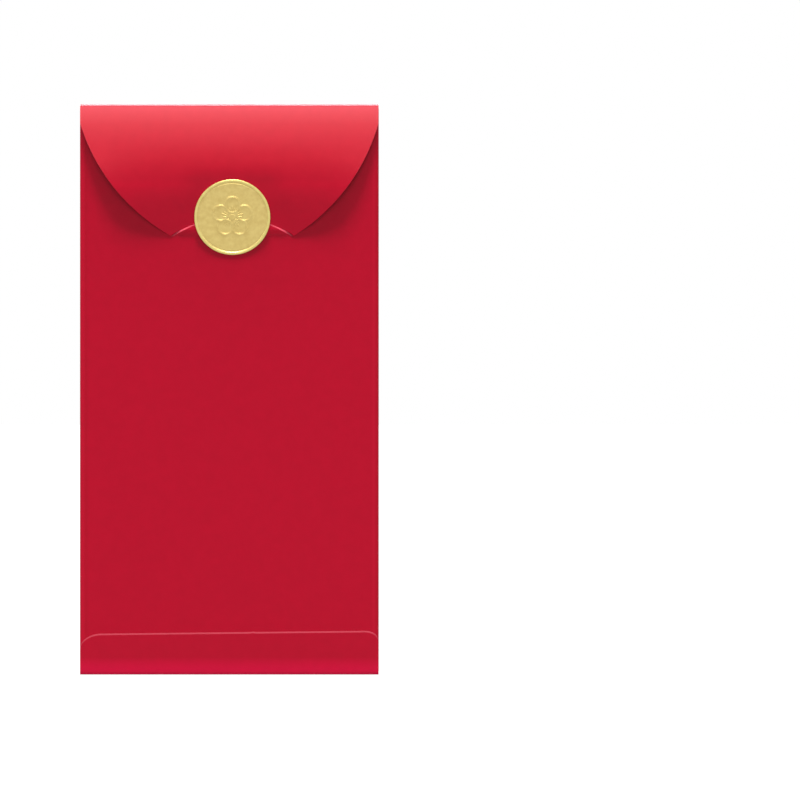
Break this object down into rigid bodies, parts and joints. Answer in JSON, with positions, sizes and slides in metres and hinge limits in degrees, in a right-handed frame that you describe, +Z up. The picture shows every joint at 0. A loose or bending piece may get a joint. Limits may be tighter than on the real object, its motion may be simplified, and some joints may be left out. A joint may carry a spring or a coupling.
{
  "type": "red envelope",
  "caption": "Tall red paper gift envelope with a pillowed front, a rounded top flap that tucks under an arched lock tab, a glued bottom flap and a round embossed gold seal.",
  "frame": {"origin": "under the middle of the envelope's width and depth, on its bottom fold", "axes": "+X across the envelope to the right as the flap side is seen, +Z up from the bottom fold to the top fold, -Y out of the flap side and +Y out of the pillowed front"},
  "size_m": [0.088, 0.0108, 0.168],
  "materials": {
    "red_paper": "pearlescent satin",
    "gold_foil": "embossed satin foil",
    "adhesive": "clear film"
  },
  "bodies": {
    "envelope": {"front_panel": "red_paper", "back_panel": "red_paper", "lock_tab": "red_paper", "left_side_fold": "red_paper", "right_side_fold": "red_paper", "side_glue_flap": "red_paper", "side_glue": "adhesive", "bottom_fold": "red_paper", "bottom_flap": "red_paper", "bottom_glue": "adhesive", "top_fold": "red_paper"},
    "flap": {"top_flap": "red_paper", "seal_disc": "gold_foil", "seal_pad": "adhesive"}
  },
  "joints": [
    {"name": "flap_hinge", "type": "hinge", "parent": "envelope", "child": "flap", "pos_m": [0, -0.00136, 0.16723], "axis": [-1, 0, 0], "range_deg": [0, 180], "deforming": ["top_fold", "lock_tab"]}
  ]
}
